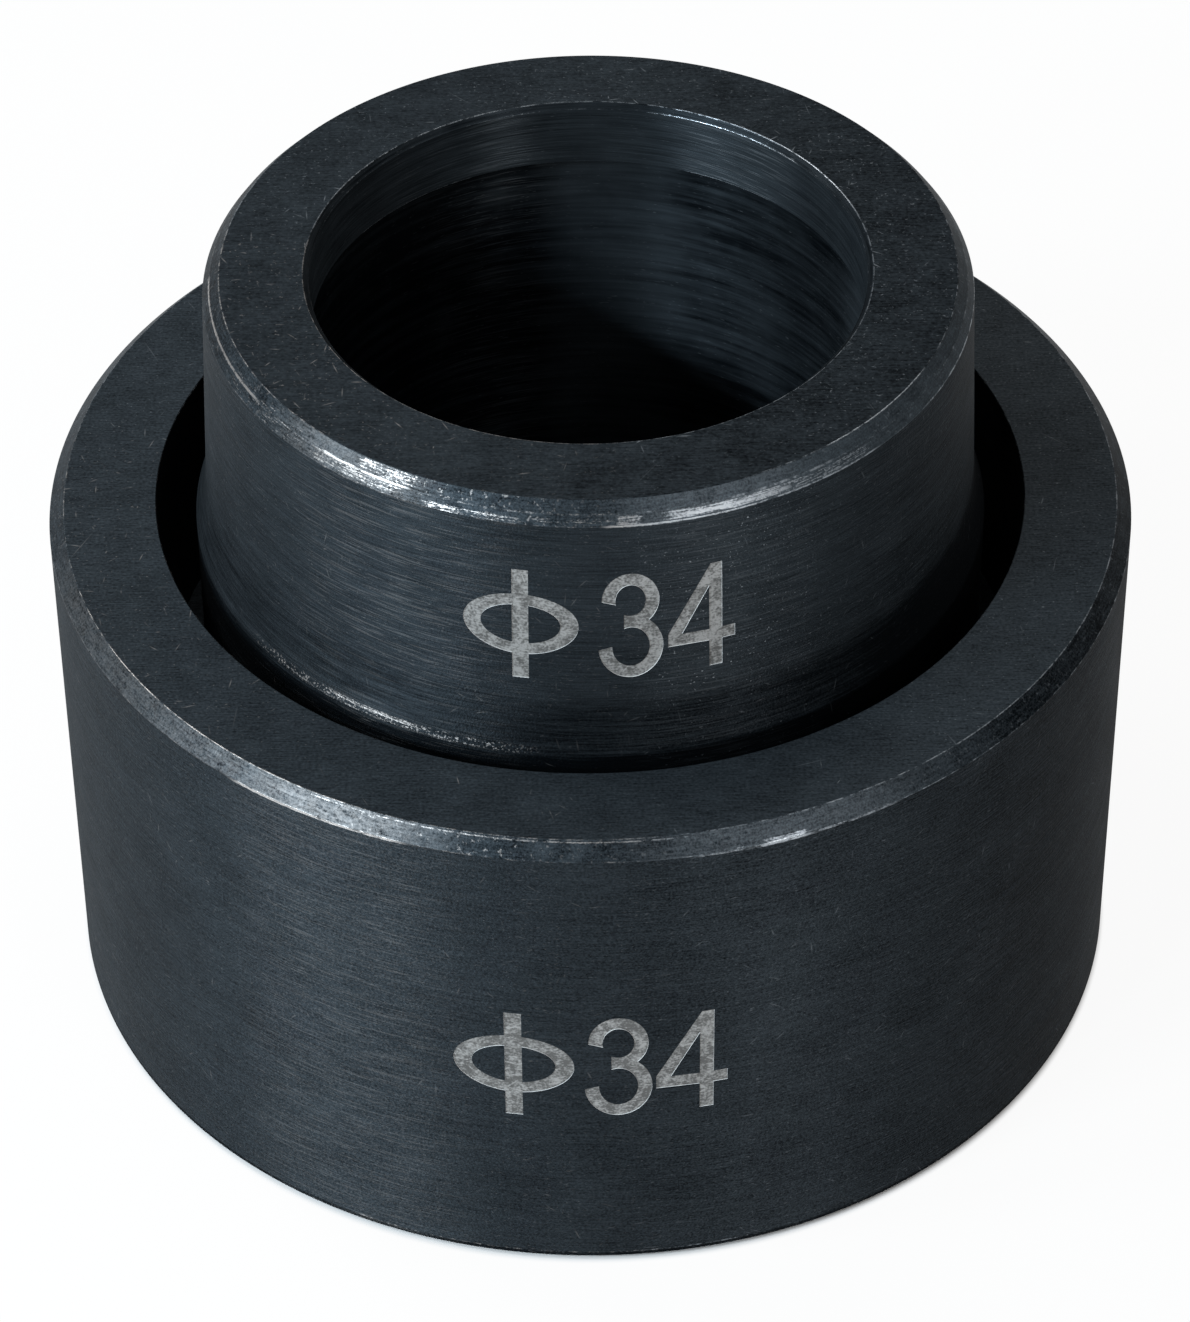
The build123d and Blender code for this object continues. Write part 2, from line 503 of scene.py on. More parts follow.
def digit_four():
    """A slanted stroke and a crossbar round a three-cornered counter, and an upright."""
    left, right = -four_width / 2, four_width / 2
    foot, crown = -four_height / 2, four_height / 2
    upright_right = right - four_tail
    upright_left = upright_right - digit_side_stroke
    bar_foot = foot + four_foot_height
    bar_top = bar_foot + digit_crown_stroke
    outline = [
        (upright_left, foot), (upright_right, foot), (upright_right, bar_foot),
        (right, bar_foot), (right, bar_top), (upright_right, bar_top),
        (upright_right, crown), (upright_right - four_crown_width, crown),
        (left, bar_top + four_heel_rise), (left, bar_foot), (upright_left, bar_foot),
    ]
    counter = [
        (upright_left - four_counter_width, bar_top), (upright_left, bar_top),
        (upright_left, bar_top + four_counter_height),
    ]
    return [outline, counter], lambda i: 0 in i and 1 not in i


signs = (diameter_sign(), digit_three(), digit_four())
print("loops a sign:", [len(loops) for loops, _ in signs])

# %% [markdown]
# ## Spinning a section, and etching the mark into it
#
# The spun wall is a net of quads, too coarse for a sharp digit. Where the mark goes, those quads
# are left out and the gap is filled by a Delaunay net through the wall's own points and the
# loops' points, so that every outline is a chain of real edges. Triangles inside a sign then sit
# etch_depth deeper, and a narrow strip joins them to the wall. The normals are set from the
# section, so the patch shades exactly as the round wall does.

# %% Rows of a spun section
columns = 540
turn_step = 2 * math.pi / columns


def spun_point(radius, height, azimuth):
    """A point of a spun section. Azimuth 0 is the front, -Y."""
    return Vector((radius * math.sin(azimuth), -radius * math.cos(azimuth), height))


def spun_rows(points):
    """The vertices and normals of a section spun round the axis, a row for each of its points."""
    turns = [column * turn_step for column in range(columns)]
    vertices = [spun_point(*here, turn) for here, _, _ in points for turn in turns]
    normals = [spun_point(*normal, turn) for _, normal, _ in points for turn in turns]
    return vertices, normals


def quads_outside(points, first, last):
    """The quads between the rows, apart from the marked patch, and the finish of each."""
    faces, kinds = [], []
    for row in range(len(points)):
        for column in range(columns):
            signed = column if column < columns / 2 else column - columns
            if first[0] <= row < last[0] and first[1] <= signed < last[1]:
                continue
            up, on = (row + 1) % len(points), (column + 1) % columns
            faces.append((
                row * columns + column, row * columns + on,
                up * columns + on, up * columns + column,
            ))
            kinds.append(points[row][2])
    return faces, kinds


print(f"{columns} columns, {360 / columns:.2f} degrees each")

# %% [markdown]
# The patch is as high and wide as the mark and a little more. Its net lies flat, as if the wall
# were unrolled: along the wall, then height. The Delaunay routine tells, for each of its points,
# which given point it came from, and for each triangle, which loops it is inside.

# %% The net that fills the patch
patch_height, patch_left, patch_right = 5.0, 3.8, 2.6
merge_distance = 1e-5


def patch_corners(points, mark):
    """The first and last row and column of the patch that the mark needs."""
    places, middle, size, wall_radius = mark
    rows = [
        row for row, (here, _, finish) in enumerate(points)
        if finish == "turned" and abs(here.y - middle) < patch_height * size
    ]
    left, right = places[0] - patch_left * size, places[2] + patch_right * size
    first = (rows[0], math.floor(left / wall_radius / turn_step))
    last = (rows[-1], math.ceil(right / wall_radius / turn_step))
    return first, last


def patch_net(points, first, last, mark):
    """The triangles that fill the patch: flat points, triangles, and which are etched."""
    places, middle, size, wall_radius = mark
    flat = [
        Vector((column * turn_step * wall_radius, points[row][0].y))
        for row in range(first[0], last[0] + 1)
        for column in range(first[1], last[1] + 1)
    ]
    grid = len(flat)
    edges, loops, owners = [], [], []
    for sign, ((sign_loops, _), place) in enumerate(zip(signs, places)):
        for number, loop in enumerate(sign_loops):
            start = len(flat)
            for x, y in loop:
                along = place + wall_radius * math.asin(x * size / wall_radius)
                flat.append(Vector((along, middle + y * size)))
            chain = list(range(start, len(flat)))
            edges += zip(chain, chain[1:] + chain[:1])
            loops.append(chain)
            owners.append((sign, number))
    net = delaunay_2d_cdt(flat, edges, loops, 0, merge_distance)
    etched = []
    for inside in net[5]:
        found = {owners[loop] for loop in inside}
        etched.append(any(
            rule({number for sign, number in found if sign == index})
            for index, (_, rule) in enumerate(signs)
        ))
    origins = [min(ids) if ids else grid for ids in net[3]]
    return net[0], net[2], [origin if origin < grid else None for origin in origins], etched


print(f"the patch reaches {patch_height} mm up and down from the mark's middle")

# %% Etch the mark
etch_depth = 0.045


def etched_patch(points, mark, vertices, normals, first, last):
    """Adds the patch's vertices, and returns its faces and the finish of each."""
    flat, triangles, origins, etched = patch_net(points, first, last, mark)
    (foot, foot_normal, _), (top, _, _) = points[first[0]], points[last[0]]
    wide = last[1] - first[1] + 1
    known = {}

    def vertex(number, deep):
        """The mesh's vertex for a point of the net, on the wall or on the mark's floor."""
        if (number, deep) not in known:
            if origins[number] is not None and not deep:
                row, column = divmod(origins[number], wide)
                known[number, deep] = (first[0] + row) * columns + (first[1] + column) % columns
            else:
                place = foot.lerp(top, (flat[number].y - foot.y) / (top.y - foot.y))
                if deep:
                    place = place - foot_normal * etch_depth
                azimuth = flat[number].x / mark[3]
                known[number, deep] = len(vertices)
                vertices.append(spun_point(*place, azimuth))
                normals.append(spun_point(*foot_normal, azimuth))
        return known[number, deep]

    faces, rims = [], {}
    for corners, deep in zip(triangles, etched):
        faces.append(tuple(vertex(number, deep) for number in corners))
        for a, b in zip(corners, corners[1:] + corners[:1]):
            rims[a, b] = deep
    strips = [
        (vertex(b, True), vertex(a, True), vertex(a, False), vertex(b, False))
        for (a, b), deep in rims.items() if deep and not rims.get((b, a), True)
    ]
    kinds = ["size_mark" if deep else "turned" for deep in etched]
    return faces + strips, kinds + ["mark_edge"] * len(strips)


print(f"etched {etch_depth} mm deep")

# %% Spin a ring
finishes = [
    "turned", "ground", "die_facets", "holder_chamfer", "lead_in", "land", "relief", "size_mark",
    "mark_edge",
]


def spin(name, points, mark):
    """A ring as a mesh, with a material for each finish and the mark etched into its wall."""
    vertices, normals = spun_rows(points)
    first, last = patch_corners(points, mark)
    faces, kinds = quads_outside(points, first, last)
    patch_faces, patch_kinds = etched_patch(points, mark, vertices, normals, first, last)
    faces, kinds = faces + patch_faces, kinds + patch_kinds

    mesh = bpy.data.meshes.new(name)
    mesh.from_pydata([v * MM for v in vertices], [], faces)
    mesh.polygons.foreach_set("material_index", [finishes.index(kind) for kind in kinds])
    mesh.polygons.foreach_set("use_smooth", [True] * len(faces))
    mesh.update()
    corner_normals = []
    for polygon, kind in zip(mesh.polygons, kinds):
        for number in polygon.vertices:
            corner_normals.append(polygon.normal if kind == "mark_edge" else normals[number])
    mesh.normals_split_custom_set(corner_normals)
    print(f"{name}: {len(faces)} faces, {kinds.count('size_mark')} of them etched")
    return placed(name, mesh)


# %% [markdown]
# Each ring now needs only its mark: where along the wall its three signs stand, how high its
# middle is, its scale and the wall's radius. The holder ring's mark is the larger one.

# %% Both rings
die_sign_places = (-4.18, 2.31, 6.56)
holder_sign_places = (-4.96, 1.4, 5.88)
die_mark_height = (wall_base_z + wall_top_z) / 2 - 0.95
holder_mark_height = holder_top_z / 2 - 0.35
holder_mark_scale = 1.075

die_mark_radius = (wall_base_radius + wall_top_radius) / 2
die_mark = (die_sign_places, die_mark_height, 1.0, die_mark_radius)
holder_mark = (holder_sign_places, holder_mark_height, holder_mark_scale, holder_radius)
die_ring = spin("blackened_die_ring", die_points, die_mark)
holder_ring = spin("blackened_holder_ring", holder_points, holder_mark)

# %% [markdown]
# ## Blackened steel
#
# The rings are tool steel, turned, the faces ground flat, then blackened in a hot salt bath. The
# black is a skin of iron oxide a micrometre thick, so every tool mark still shows through it. It is
# not paint: it is dark blue-grey, a little glossy, and worn through to bright steel where edges
# rub. All finishes share one recipe: a tone that the tool marks stir, and a mask of bare steel that
# lifts colour, metal and shine together. The tone also carries painted light and shade set by
# azimuth, and the bare-steel mask also carries painted glints where the lamps fall. Bare steel has
# two tints, since the lamps on the left are cooler, and on the real die it looks neutral on both
# sides.

# %% Colours of the steel
oxide_dark = (0.0045, 0.006, 0.0075, 1)
oxide_pale = (0.062, 0.077, 0.09, 1)
oxide_metal = 0.6
bare_warm = (0.505, 0.478, 0.462, 1)
bare_cool = (0.41, 0.45, 0.49, 1)
cool_light = (-95, 0)
bump_height = 8e-6
wall_degree = 0.45


def ring_place(sheet):
    """The point in millimetres, then its radius, azimuth in degrees and height."""
    metres = sheet.node("TexCoord", output="Object")
    place = metres.node(
        "VectorMath", {"operation": "SCALE"}, {0: metres, "Scale": 1 / MM}
    )
    x, y, z = place.parts()
    radius = (x * x + y * y) ** 0.5
    azimuth = x.math("ARCTAN2", x, -y) * math.degrees(1)
    return place, radius, azimuth, z


def staggered(place, height):
    """The point with its rows shifted sideways, so that a stretched noise shows no columns."""
    shift = height.node("CombineXYZ", {}, {0: height * 8.5, 1: height * 6.7})
    return place.node("VectorMath", {"operation": "ADD"}, {0: place, 1: shift})


def unrolled(azimuth, height):
    """A wall laid flat. A degree is about wall_degree millimetres long on both rings."""
    return azimuth.node("CombineXYZ", {}, {0: azimuth * wall_degree, 1: height})


def window(azimuth, start, end, soft=6.0):
    """1 between two azimuths, falling to 0 over soft degrees on both sides."""
    middle, half = (start + end) / 2, (end - start) / 2
    return abs(azimuth - middle).fall(half, half + soft)


print("oxide from", oxide_dark[:3], "to", oxide_pale[:3])

# %% [markdown]
# Scratches are short straight lines at any angle. A noise pattern can't draw them, but a Voronoi
# pattern can place them: each of its cells has a centre and a random colour, so the colour's
# channels become the scratch's angle, length and strength.


# %% Scratches
def scratches(flat_place, cell, length, width):
    """At most one straight scratch in each cell of a flat Voronoi pattern."""
    scaled = flat_place.shrunk((cell, cell, cell))
    cells = scaled.node(
        "TexVoronoi", {"voronoi_dimensions": "2D"}, {"Vector": scaled, "Scale": 1.0}
    )
    offset = scaled.node(
        "VectorMath", {"operation": "SUBTRACT"}, {0: scaled, 1: cells.output("Position")}
    )
    dx, dy, _ = offset.parts()
    angle, share, strength = cells.output("Color").parts()
    angle = angle * (2 * math.pi)
    cosine, sine = angle.math("COSINE", angle), angle.math("SINE", angle)
    across = abs(dx * sine - dy * cosine) * cell
    along = abs(dx * cosine + dy * sine) * cell
    line = across.fall(width * 0.4, width) * along.fall(0.0, length * (0.25 + share))
    return line * strength.rise(0.45, 0.9)


print("scratches ready")

# %% [markdown]
# An edge is a circle round the axis, so the distance to it is plain geometry: how far the point's
# radius and height are from the circle's. Bare steel shows where that distance is under a hair's
# width. One noise shakes the line up and down, and a rougher one breaks it into unequal bits.


# %% Worn and glinting edges
def edge_wear_and_glints(place, radius, azimuth, height, edges):
    """Ragged bright lines: radius, height, width, strength and two azimuths of each circle."""
    shaken = (place.shrunk((0.35, 0.35, 0.25)).noise(3.0, 0.7) - 0.5) * 0.16
    breaks = place.shrunk((0.8, 0.8, 0.8)).noise(5.0, 0.8)
    worn = None
    for edge_radius, edge_height, width, strength, start, end in edges:
        off = height + shaken - edge_height
        away = ((radius - edge_radius) ** 2 + off * off) ** 0.5
        line = away.fall(width * 0.25, width) * strength
        line = line * breaks.rise(0.6 - 0.3 * strength, 0.8 - 0.3 * strength)
        if end - start < 360:
            line = line * window(azimuth, start, end, 3.0)
        worn = line if worn is None else worn.most(line)
    return worn


print("worn edges ready")

# %% [markdown]
# Where an edge has rubbed along something, the bare steel lies in streaks. A patch is a window of
# azimuth and height. It lowers the level above which a streaky noise counts as bare, so a patch
# is dense in its middle and falls apart into flecks at its ends.


# %% Worn and glinting patches
# patches placed where the lamps fall are partly painted highlight
def patch_wear_and_glints(place, azimuth, height, patches):
    """Streaky bare patches: two azimuths, two heights, and how bare the middle is."""
    streaks = place.shrunk((1.3, 1.3, 0.07)).noise(3.0, 0.65)
    chips = place.shrunk((0.16, 0.16, 0.1)).noise(2.0, 0.6)
    pattern = streaks * 0.62 + chips * 0.38
    worn = None
    for start, end, low, high, bare in patches:
        middle, half = (low + high) / 2, (high - low) / 2
        ends = window(azimuth, start, end, (end - start) * 0.4)
        share = ends * abs(height - middle).fall(half, half + 0.12)
        level = 0.68 - share * (0.3 * bare)
        patch = pattern.rise(level, level + 0.22) * share.rise(0.0, 0.5)
        worn = patch if worn is None else worn.most(patch)
    return worn


print("worn patches ready")

# %% [markdown]
# The recipe itself is one function, so that each finish below only has to say how its tone, its
# wear, its roughness and its relief differ. Tone and wear also carry the painted light, shade and
# glints. The steel's own gloss comes from Metallic alone: the white sheen that a plastic has,
# Specular, is switched off.


# %% The shared recipe
def steel_finish(paint, sheet, azimuth, tone, worn, roughness, bumps, anisotropy=0.0):
    """Joins a finish's signals in one shader: tone for the oxide, which also carries painted light
    and shade, and worn for bare steel, which also carries painted glints.
    """
    oxide = mix_colours(tone, oxide_dark, oxide_pale)
    bare_steel = mix_colours(window(azimuth, *cool_light, 10.0), bare_cool, bare_warm)
    colour = mix_colours(worn, oxide, bare_steel)
    relief_normal = sheet.node(
        "Bump", {}, {"Strength": 1.0, "Distance": bump_height, "Height": bumps}
    )
    shader = sheet.node("BsdfPrincipled", {}, {
        "Base Color": colour,
        "Metallic": oxide_metal + worn * (1 - oxide_metal),
        "Roughness": roughness - worn * 0.12,
        "Normal": relief_normal,
        "Specular IOR Level": 0.0,
        "Anisotropic": anisotropy,
        "Anisotropic Rotation": 0.25,
    })
    sheet.node("OutputMaterial", {}, {0: shader})
    return paint


print("recipe ready")

# %% [markdown]
# ### Turned walls
#
# A lathe leaves fine rings. Seen close they are dashes: a few millimetres long round the wall, a
# tenth of a millimetre high. A noise stretched that way gives them. Its rows are shifted sideways,
# or else the dashes would line up in columns. The lines are drawn in tone and in traces of bare
# steel, with a little relief, since more would only glitter. The shader is told that the surface is
# rougher up and down than round about, so the lamps draw upright bands on the walls. In those
# bands, on the front left and a little right of the front, the traces of bare steel and the specks
# are denser: painted glints. The tone also carries painted shade: darker on the far right and on
# the holder's front right, on the hollow sweep above the collar, on the collar's side down in the
# gap, and in a thin strip at the holder's foot as a painted contact shadow. Faint bare streaks on
# the holder's far right are a painted sheen.


# %% Turned walls
def turned_finish(edges, patches):
    """Walls with turning marks, specks and worn edges, and painted shade, glints and sheen."""
    paint, sheet = blank("turned_steel")
    place, radius, azimuth, height = ring_place(sheet)
    rows = staggered(place, height)
    grain = rows.shrunk((3.0, 3.0, 0.12)).noise(2.0, 0.6)
    frost = place.shrunk((0.15, 0.15, 0.12)).noise(1.0)
    bands = place.shrunk((7.0, 7.0, 0.45)).noise(3.0, 0.6)
    clouds = place.shrunk((5.0, 5.0, 4.0)).noise(3.0, 0.6)
    ticks = place.shrunk((0.4, 0.4, 0.08)).noise(1.0)
    specks = place.shrunk((0.17, 0.17, 0.14)).noise(1.0)
    on_die = radius.fall(collar_radius + 0.1, collar_radius + 0.3)
    on_holder = 1.0 - on_die
    sweep = on_die * height.fall(wall_base_z - 1.3, wall_base_z + 0.5)
    # painted shade: the collar's side below its edge, down in the gap, is darker in tone
    painted_shade_under_collar = on_die * height.fall(collar_edge_z - 0.7, collar_edge_z + 0.1)
    # painted contact shadow: a thin dark strip at the holder's foot
    painted_foot_shadow = on_holder * height.fall(foot_chamfer + 0.2, foot_chamfer + 0.35)
    # the lamps' bands: bare dashes and specks inside them are painted glints
    left = on_die * window(azimuth, -40, -18, 12.0)
    left = left + on_holder * window(azimuth, -33, -20, 10.0) * 0.8
    right = on_die * window(azimuth, 12, 30, 8.0)
    # painted shade: the far right of both rings is darker in tone, and its bands stronger
    far_right_painted_shade = window(azimuth, 60, 120, 35.0)
    tone = 0.34 + (grain - 0.5) * (0.5 + on_die * 0.15) + (clouds - 0.5) * 0.3
    tone = tone + (frost - 0.5) * (0.3 + on_holder * 0.5) - far_right_painted_shade * (0.14 + on_holder * 0.03)
    streaked = sweep * window(azimuth, -60, -32, 14.0)
    tone = tone + (bands - 0.5) * (0.15 + far_right_painted_shade * 0.15 + streaked * 0.6)
    # painted shade: the hollow sweep is darker, more so towards the right
    tone = tone - sweep * (0.06 + window(azimuth, 0, 150, 30.0) * 0.16 + far_right_painted_shade * 0.12)
    # painted shade: the holder's front right is a little darker
    tone = tone - on_holder * window(azimuth, 10, 55, 15.0) * 0.06
    tone = tone - painted_shade_under_collar * 0.32 - painted_foot_shadow * 0.3
    worn = edge_wear_and_glints(place, radius, azimuth, height, edges)
    worn = worn.most(patch_wear_and_glints(place, azimuth, height, patches) * on_die)
    lines = rows.shrunk((2.6, 2.6, 0.1)).noise(1.0).rise(0.52, 0.7)
    grit = place.shrunk((0.14, 0.14, 0.11)).noise(0.0).rise(0.56, 0.68)
    dashes = lines * on_die + (grit * 0.6 + lines) * on_holder
    worn = worn.most(dashes * (left * 0.08 + right * 0.05) * (1.0 - sweep * 0.5))
    # painted sheen: faint bare streaks on the holder's far right
    far_right_painted_sheen = on_holder * window(azimuth, 74, 94, 9.0) * clouds.rise(0.35, 0.6)
    worn = worn.most(far_right_painted_sheen * lines * 0.07)
    nicks = scratches(unrolled(azimuth, height), 1.3, 0.5, 0.05)
    worn = worn.most(nicks * clouds.rise(0.42, 0.6) * 0.12)
    # specks, denser in the right-hand band: partly wear, partly painted glints
    fleck = ticks.rise(0.66, 0.8) * 0.12 + specks.rise(0.67, 0.8) * (0.08 + right * 0.35)
    worn = worn.most(fleck * (1.0 - sweep * 0.7))
    # the collar edge's dotted line on the front left: partly wear, partly painted highlight
    collar_dots_wear_and_highlight = on_die * abs(height - (collar_edge_z + 0.2)).fall(0.1, 0.35)
    collar_dots_wear_and_highlight = collar_dots_wear_and_highlight * window(azimuth, -50, -14, 8.0)
    worn = worn.most(specks.rise(0.54, 0.68) * collar_dots_wear_and_highlight * 0.5)
    bumps = grain * 7.0 + frost * 4.0
    roughness = 0.55 + (bands - 0.5) * 0.2
    return steel_finish(paint, sheet, azimuth, tone, worn, roughness, bumps, 0.9)


print("turned walls ready")

# %% [markdown]
# ### Ground faces
#
# The flat faces are surface-ground: the wheel runs straight across both rings, so the grain lies
# left to right whatever the ring does. Handling has added specks and short scratches. The tone also
# carries painted light and shade: the holder's face is lighter than the die's, and the die's face
# is darker towards its right.


# %% Ground faces
def ground_finish(edges):
    """Flat faces with straight grain, scratches and worn edges, and painted light and shade."""
    paint, sheet = blank("ground_steel")
    place, radius, azimuth, height = ring_place(sheet)
    grain = place.shrunk((1.5, 0.1, 0.5)).noise(2.0, 0.6)
    frost = place.shrunk((0.2, 0.15, 0.2)).noise(1.0)
    clouds = place.shrunk((3.2, 2.4, 3.0)).noise(5.0, 0.65)
    specks = place.shrunk((0.22, 0.16, 0.2)).noise(1.0)
    on_holder = height.fall(holder_top_z + 0.5, holder_top_z + 1.0)
    tone = ((grain - 0.5) * 0.6 + (frost - 0.5) * 0.6) * (1.0 + on_holder * 0.5)
    tone = 0.36 + tone + (clouds - 0.5) * 0.5
    # painted light and shade: the holder's face is lighter, the die's face darker towards its right
    across, towards, _ = place.parts()
    right_half_painted_shade = (across - towards * 0.3).rise(-8.0, 18.0) * 0.15
    tone = tone + on_holder * 0.13 - right_half_painted_shade * (1.0 - on_holder * 0.85)
    worn = edge_wear_and_glints(place, radius, azimuth, height, edges)
    by_the_bore = radius.fall(bore_radius + 0.6, bore_radius + 1.8)
    handled = by_the_bore.most(window(azimuth, -95, -50, 15.0) * 0.8)
    handled = clouds.rise(0.5, 0.7).most(handled * clouds.rise(0.4, 0.5))
    calm = window(azimuth, -25, 25, 20.0)
    nicks = scratches(place, 1.1, 0.5, 0.05) * handled * 0.38
    lines = scratches(place, 5.0, 1.6, 0.04) * 0.13
    grit = specks.rise(0.66, 0.8) * (1.0 - calm * 0.6) * 0.22
    worn = worn.most(grit).most(nicks).most(lines)
    return steel_finish(paint, sheet, azimuth, tone, worn, 0.5 + (clouds - 0.5) * 0.2, grain)


print("ground faces ready")

# %% [markdown]
# ### Facets
#
# The chamfers are blackened like the rest, but they are what other parts and hands rub first. They
# get a frosted tone, a thin veil of half-bare steel and, in the worst places, bare streaks. Veils,
# streaks and the dents' bare spots are densest where the lamps fall, so they are partly wear and
# partly painted highlight, and the tone is raised or lowered by azimuth as painted light and shade.


# %% Facets and chamfer
def facet_finish(name, edges, patches, base_tone, bare_veils_and_highlights, painted_light_and_shade=()):
    """Edge facets: frosted, with a veil of half-bare steel and smears between azimuths, partly
    painted highlight, and painted light and shade by azimuth.
    """
    paint, sheet = blank(name)
    place, radius, azimuth, height = ring_place(sheet)
    frost = place.shrunk((0.13, 0.13, 0.11)).noise(2.0, 0.6)
    clouds = place.shrunk((1.6, 1.6, 1.6)).noise(3.0, 0.6)
    drag = place.shrunk((1.2, 1.2, 0.09)).noise(2.0, 0.6)
    dents = place.shrunk((0.28, 0.28, 0.28)).noise(2.0, 0.6)
    tone = base_tone + (frost - 0.5) * 1.2 + (clouds - 0.5) * 0.7 + (drag - 0.5) * 0.8
    worn = edge_wear_and_glints(place, radius, azimuth, height, edges)
    worn = worn.most(patch_wear_and_glints(place, azimuth, height, patches))
    # veils lie where the lamps fall: partly half-bare steel, partly painted highlight
    for start, end, amount in bare_veils_and_highlights:
        stirred = 1.0 + (frost - 0.5) * 2.6 + (drag - 0.5) * 2.2 + (dents - 0.5) * 2.6
        worn = worn.most(window(azimuth, start, end, 13.0) * stirred * amount)
    # painted light and shade: the tone raised or lowered between azimuths
    for start, end, amount in painted_light_and_shade:
        tone = tone + window(azimuth, start, end, 12.0) * amount
    # the dents' bare spots are denser just left of the front, where the lamps fall: partly painted
    # highlight
    dent_wear_and_highlight = 0.12 + window(azimuth, -24, -8, 6.0) * 0.25
    worn = worn.most(dents.rise(0.58, 0.74) * dent_wear_and_highlight)
    return steel_finish(paint, sheet, azimuth, tone, worn, 0.46 + (frost - 0.5) * 0.2, frost)


print("facets ready")

# %% [markdown]
# ### Bores
#
# In a bore the cutting tool leaves wider rings than on an outside wall, with finer streaks on them.
# The light comes in from one side only, so the bore's tone is given painted shade and painted light
# by azimuth, and its bare steel painted glints. The holder ring's bores lie deep in the gap, and
# their tone gets painted shade that makes them darker still.


# %% Bores
def bore_finish(name, ring_height, streaks, edges, base_tone, base_roughness, painted_light_and_shade, glints):
    """Walls of a bore: turning rings as high as ring_height, finer streaks on them, and painted
    shade, light and glints by azimuth.
    """
    paint, sheet = blank(name)
    place, radius, azimuth, height = ring_place(sheet)
    rings = place.shrunk((9.0, 9.0, ring_height)).noise(3.0, 0.6)
    grain = staggered(place, height).shrunk((3.0, 3.0, 0.12)).noise(2.0, 0.6)
    clouds = place.shrunk((4.0, 4.0, 3.0)).noise(3.0, 0.6)
    ticks = place.shrunk((0.5, 0.5, 0.08)).noise(1.0)
    tone = base_tone + (rings - 0.5) * 0.7 + (grain - 0.5) * streaks + (clouds - 0.5) * 0.5
    # painted shade: the holder ring's bores, deep in the gap, are darker
    tone = tone - radius.rise(relief_radius + 0.3, relief_radius + 1.8) * 0.4
    # painted light and shade by azimuth
    for start, end, amount in painted_light_and_shade:
        tone = tone + window(azimuth, start, end, 12.0) * amount
    worn = edge_wear_and_glints(place, radius, azimuth, height, edges).most(ticks.rise(0.68, 0.8) * 0.1)
    # painted glints: bare-steel streaks where the lamps fall
    for start, end, amount in glints:
        worn = worn.most(window(azimuth, start, end, 10.0) * grain.rise(0.52, 0.68) * amount)
    bumps = grain * (streaks * 8.0) + rings * 2.0
    roughness = base_roughness + (rings - 0.5) * 0.15
    return steel_finish(paint, sheet, azimuth, tone, worn, roughness, bumps, 0.9)


print("bores ready")

# %% [markdown]
# ### The mark
#
# The mark's floor is what the laser leaves: pale, matt and cloudy, hardly metal any more, with a
# bright, steep edge round it, whose pale colour is partly painted highlight. On the holder ring the
# floor's tone is darker, a painted shade. The bump is two hundredths of a millimetre, for light to
# play on.

# %% The mark's floor and edge
mark_dark = (0.09, 0.09, 0.088, 1)
mark_pale = (0.3, 0.3, 0.295, 1)
mark_bump_height = 2e-5


def edge_finish():
    """The steep edge of an etched sign: bright bare steel, partly painted highlight."""
    paint, sheet = blank("mark_edge")
    shader = sheet.node("BsdfPrincipled", {}, {
        "Base Color": (0.8, 0.8, 0.8, 1), "Metallic": 0.2, "Roughness": 0.5,
    })
    sheet.node("OutputMaterial", {}, {0: shader})
    return paint


def mark_finish():
    """The etched floor of the size mark: pale, frosted, faintly brushed, with painted shade on the
    holder ring.
    """
    paint, sheet = blank("etched_mark")
    place, radius, azimuth, height = ring_place(sheet)
    brushed = place.shrunk((0.45, 0.45, 0.12)).noise(3.0, 0.65)
    clouds = place.shrunk((0.8, 0.8, 0.9)).noise(4.0, 0.7)
    grit = place.shrunk((0.16, 0.16, 0.14)).noise(1.0)
    drawn = scratches(unrolled(azimuth, height), 0.6, 0.6, 0.06)
    tone = 0.53 + (brushed - 0.5) * 2.2 + (clouds - 0.5) * 3.4 + (grit - 0.5) * 2.2 + drawn * 0.8
    # painted shade: the mark on the holder ring is darker
    tone = tone - radius.rise(collar_radius + 0.2, collar_radius + 5.2) * 0.23
    colour = mix_colours(tone, mark_dark, mark_pale)
    bumps = sheet.node("Bump", {}, {"Distance": mark_bump_height, "Height": clouds})
    shader = sheet.node("BsdfPrincipled", {}, {
        "Base Color": colour, "Metallic": 0.3, "Roughness": 0.6, "Normal": bumps,
    })
    sheet.node("OutputMaterial", {}, {0: shader})
    return paint


print("mark ready")

# %% [markdown]
# ## Where the wear and the painted highlights are
#
# Wear follows use, so it is listed one by one, as on the real die: most of it lies on the front
# left of both upper edges, and each has a bright rub on the right. These rubs and many of the
# shorter lines also lie where the lamps fall, on the front left, a little right of the front and on
# the lit side of the bore, so they are partly wear and partly painted highlight. A line below is
# one circle: radius and height, the bright line's width and strength, and the azimuths that it runs
# between.

# %% Worn and glinting edges of both rings
all_round = (-180, 180)
rim = (rim_radius, die_top_z)
ridge = (facet_ridge_radius, facet_ridge_z)
wall_top = (wall_top_radius, wall_top_z)
mouth = (bore_radius + lead_in, die_top_z)
lead_in_end = (bore_radius, die_top_z - lead_in)
land_end = (bore_radius, land_end_z)
